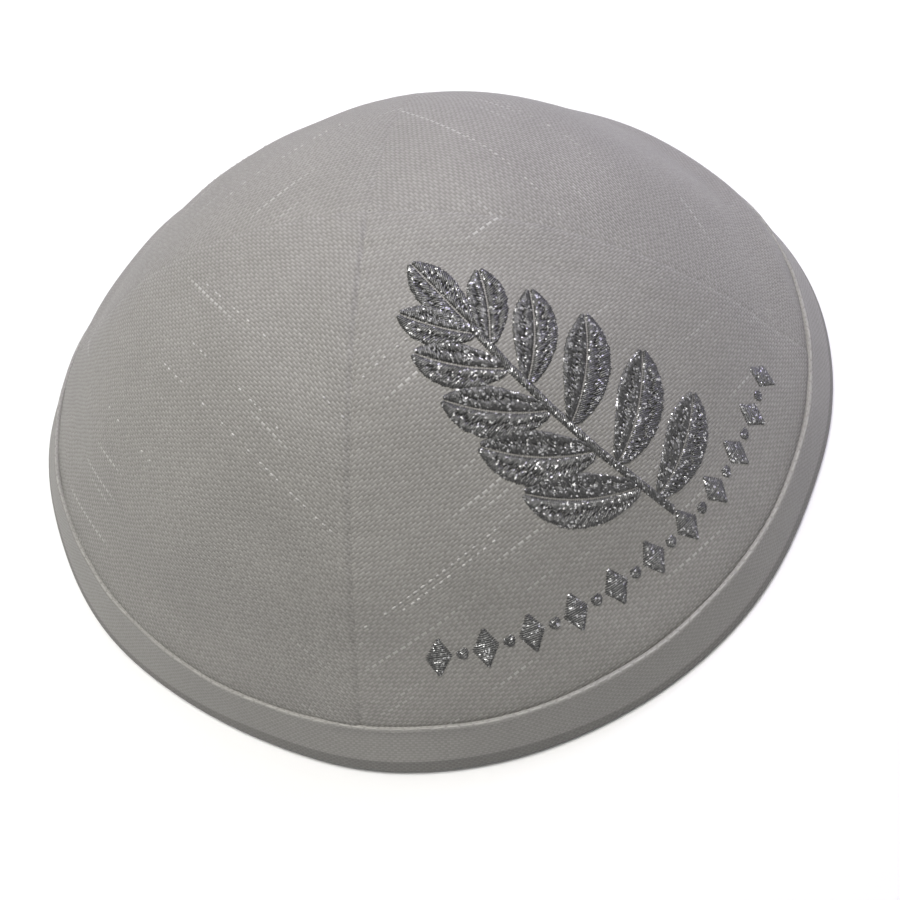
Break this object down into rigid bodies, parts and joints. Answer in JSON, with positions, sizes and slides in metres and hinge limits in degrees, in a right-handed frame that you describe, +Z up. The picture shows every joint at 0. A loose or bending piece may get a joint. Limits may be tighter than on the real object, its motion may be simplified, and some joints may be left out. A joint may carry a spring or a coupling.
{
  "type": "kippah skullcap",
  "caption": "Shallow cloth skullcap sewn from curved panels that meet at the crown, with a folded band round its open rim.",
  "frame": {"origin": "middle of the rim's footprint, on the surface that the cap lies on", "axes": "+Z up through the crown, +X along the right seam, -Y along the front seam, so the embroidered panel lies between +X and -Y"},
  "size_m": [0.1774, 0.1672, 0.055],
  "materials": {
    "panel_cloth": "silver-grey linen-look weave with slubs and a slight sheen",
    "band_cloth": "the same cloth as a folded strip, stitched along its upper edge"
  },
  "bodies": {
    "root": {"panel_front_right": "panel_cloth", "panel_front_left": "panel_cloth", "panel_back_left": "panel_cloth", "panel_back_right": "panel_cloth", "rim_band": "band_cloth"}
  },
  "joints": []
}
